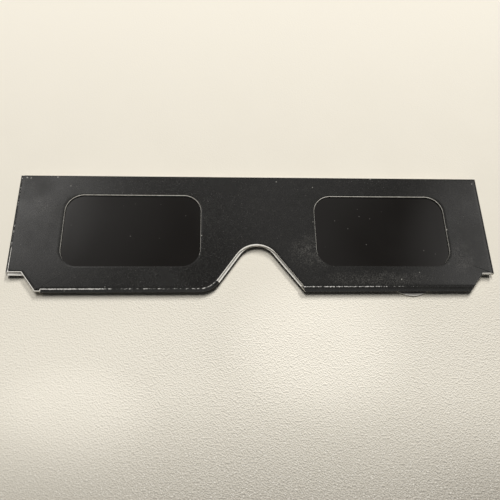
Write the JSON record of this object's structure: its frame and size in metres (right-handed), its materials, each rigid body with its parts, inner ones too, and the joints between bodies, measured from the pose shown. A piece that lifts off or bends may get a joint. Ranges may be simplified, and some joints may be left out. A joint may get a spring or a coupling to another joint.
{
  "type": "eclipse glasses",
  "caption": "Folded paper solar viewing glasses: creased black board front with dark film windows, a nose notch and ear-hook temples folded flat behind it.",
  "frame": {"origin": "middle of the overall outline, on the surface under the lower folded temple", "axes": "+X across the front from the left window to the right one as pictured, +Y from the nose notch to the brow edge, +Z out of the printed front face"},
  "size_m": [0.145, 0.0388, 0.0022],
  "materials": {
    "laminated_board": "paperboard with a glossy black laminate outside, bare white inside and at the cut edges",
    "filter_film": "smooth, very dark gloss film",
    "glue": "thin dried paper glue"
  },
  "bodies": {
    "front": {"front_panel": "laminated_board", "rear_panel": "laminated_board", "left_bottom_fold": "laminated_board", "right_bottom_fold": "laminated_board", "left_temple_crease": "laminated_board", "right_temple_crease": "laminated_board", "left_glue_frame": "glue", "right_glue_frame": "glue", "brow_glue_strip": "glue", "left_filter": "filter_film", "right_filter": "filter_film"},
    "left_temple": {"left_temple": "laminated_board"},
    "right_temple": {"right_temple": "laminated_board"}
  },
  "joints": [
    {"name": "left_temple_fold", "type": "hinge", "parent": "front", "child": "left_temple", "pos_m": [-0.07202, 0, 0.00177], "axis": [0, 1, 0], "range_deg": [0, 179.5], "deforming": ["left_temple_crease"]},
    {"name": "right_temple_fold", "type": "hinge", "parent": "front", "child": "right_temple", "pos_m": [0.07202, 0, 0.00177], "axis": [0, -1, 0], "range_deg": [0, 179.5], "deforming": ["right_temple_crease"]}
  ]
}
